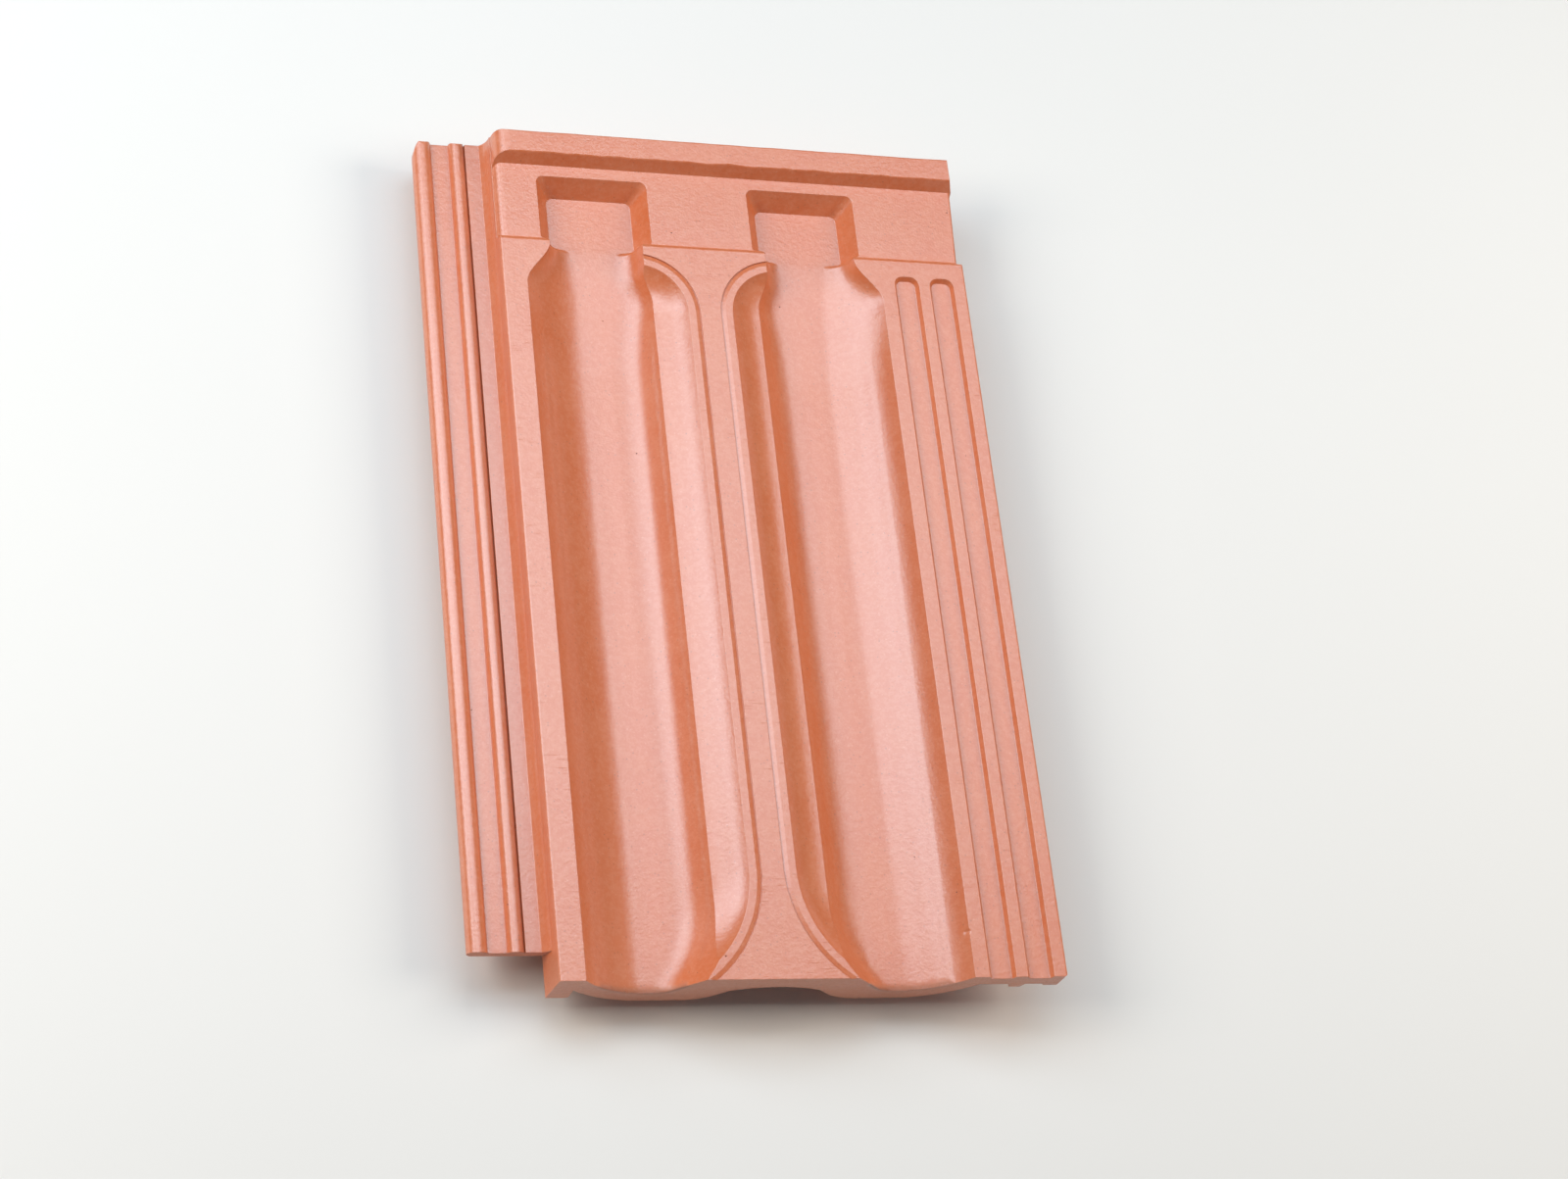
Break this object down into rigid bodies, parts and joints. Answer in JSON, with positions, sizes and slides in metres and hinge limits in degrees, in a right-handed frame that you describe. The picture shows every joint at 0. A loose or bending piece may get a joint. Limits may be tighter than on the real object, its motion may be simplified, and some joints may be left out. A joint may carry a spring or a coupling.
{
  "type": "clay roof tile",
  "caption": "Interlocking pressed clay roof tile with twin bottle-necked troughs, ribbed side lock, raised head rim and lugs below.",
  "frame": {"origin": "centre of the bounding box, on the floor plane that the four underside lugs stand on", "axes": "+Z out of the weather face, +Y up the roof from tail to head, +X across to the right with the side lock on -X"},
  "size_m": [0.265, 0.42, 0.0409],
  "materials": {
    "fired_clay": "matt fired terracotta"
  },
  "bodies": {
    "root": {"roof_tile": "fired_clay"}
  },
  "joints": []
}
